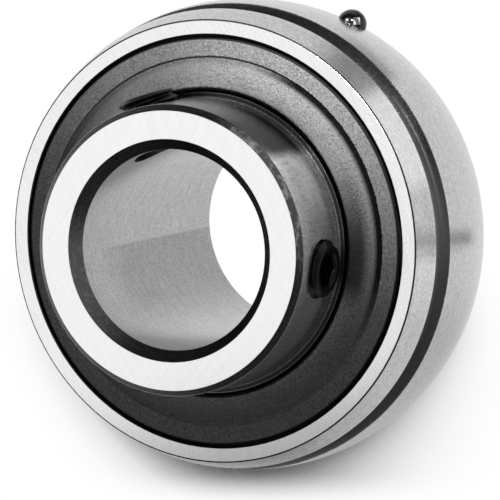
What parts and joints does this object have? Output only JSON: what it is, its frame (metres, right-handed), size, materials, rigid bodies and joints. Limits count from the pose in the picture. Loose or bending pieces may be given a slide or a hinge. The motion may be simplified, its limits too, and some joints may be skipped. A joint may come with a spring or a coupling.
{
  "type": "insert bearing",
  "caption": "Ball bearing insert with a spherical outer ring, wide inner ring, two set screws, slingers and seals.",
  "frame": {"origin": "centre of the spherical outside surface, on the bore's axis", "axes": "+Z along the bore towards the long end of the inner ring with the set screws; +X through set screw 1; it stands on the short end of the inner ring"},
  "size_m": [0.047, 0.047, 0.031],
  "materials": {
    "ground_steel": "ground and superfinished bearing steel, bright",
    "slinger_steel": "pressed steel, fine blasted grey plating",
    "ball_steel": "lapped mirror bright",
    "cage_steel": "pressed low-carbon strip, satin",
    "seal_steel": "pressed zinc-plated strip",
    "seal_rubber": "black nitrile rubber, moulded",
    "black_oxide": "black oxide over steel, slightly oily"
  },
  "bodies": {
    "inner": {"inner_ring": "ground_steel", "front_slinger": "slinger_steel", "rear_slinger": "slinger_steel"},
    "outer": {"outer_ring": "ground_steel", "locating_ball": "ball_steel", "front_seal_carrier": "seal_steel", "front_seal_lip": "seal_rubber", "rear_seal_carrier": "seal_steel", "rear_seal_lip": "seal_rubber"},
    "cage": {"front_cage_half": "cage_steel", "rear_cage_half": "cage_steel", "cage_rivets": "cage_steel"},
    "ball_1": {"ball_1": "ball_steel"},
    "ball_2": {"ball_2": "ball_steel"},
    "ball_3": {"ball_3": "ball_steel"},
    "ball_4": {"ball_4": "ball_steel"},
    "ball_5": {"ball_5": "ball_steel"},
    "ball_6": {"ball_6": "ball_steel"},
    "ball_7": {"ball_7": "ball_steel"},
    "ball_8": {"ball_8": "ball_steel"},
    "set_screw_1": {"set_screw_1": "black_oxide"},
    "set_screw_2": {"set_screw_2": "black_oxide"}
  },
  "joints": [
    {"name": "outer_spin", "type": "hinge", "parent": "inner", "child": "outer", "pos_m": [0, 0, 0], "axis": [0, 0, 1], "continuous": true},
    {"name": "cage_spin", "type": "hinge", "parent": "inner", "child": "cage", "pos_m": [0, 0, 0], "axis": [0, 0, 1], "continuous": true},
    {"name": "ball_1_spin", "type": "hinge", "parent": "cage", "child": "ball_1", "pos_m": [0.0169, 0, 0], "axis": [0, 0, 1], "continuous": true},
    {"name": "ball_2_spin", "type": "hinge", "parent": "cage", "child": "ball_2", "pos_m": [0.01195, 0.01195, 0], "axis": [0, 0, 1], "continuous": true},
    {"name": "ball_3_spin", "type": "hinge", "parent": "cage", "child": "ball_3", "pos_m": [0, 0.0169, 0], "axis": [0, 0, 1], "continuous": true},
    {"name": "ball_4_spin", "type": "hinge", "parent": "cage", "child": "ball_4", "pos_m": [-0.01195, 0.01195, 0], "axis": [0, 0, 1], "continuous": true},
    {"name": "ball_5_spin", "type": "hinge", "parent": "cage", "child": "ball_5", "pos_m": [-0.0169, 0, 0], "axis": [0, 0, 1], "continuous": true},
    {"name": "ball_6_spin", "type": "hinge", "parent": "cage", "child": "ball_6", "pos_m": [-0.01195, -0.01195, 0], "axis": [0, 0, 1], "continuous": true},
    {"name": "ball_7_spin", "type": "hinge", "parent": "cage", "child": "ball_7", "pos_m": [0, -0.0169, 0], "axis": [0, 0, 1], "continuous": true},
    {"name": "ball_8_spin", "type": "hinge", "parent": "cage", "child": "ball_8", "pos_m": [0.01195, -0.01195, 0], "axis": [0, 0, 1], "continuous": true},
    {"name": "set_screw_1_travel", "type": "slide", "parent": "inner", "child": "set_screw_1", "axis": [1, 0, 0], "range_m": [-0.002, 0.003]},
    {"name": "set_screw_2_travel", "type": "slide", "parent": "inner", "child": "set_screw_2", "axis": [-0.4226, 0.9063, 0], "range_m": [-0.0024, 0.0026]}
  ],
  "couplings": [
    {"joint": "cage_spin", "follows": "outer_spin", "ratio": 0.61744},
    {"joint": "ball_1_spin", "follows": "outer_spin", "ratio": 2.0113},
    {"joint": "ball_2_spin", "follows": "outer_spin", "ratio": 2.0113},
    {"joint": "ball_3_spin", "follows": "outer_spin", "ratio": 2.0113},
    {"joint": "ball_4_spin", "follows": "outer_spin", "ratio": 2.0113},
    {"joint": "ball_5_spin", "follows": "outer_spin", "ratio": 2.0113},
    {"joint": "ball_6_spin", "follows": "outer_spin", "ratio": 2.0113},
    {"joint": "ball_7_spin", "follows": "outer_spin", "ratio": 2.0113},
    {"joint": "ball_8_spin", "follows": "outer_spin", "ratio": 2.0113}
  ]
}
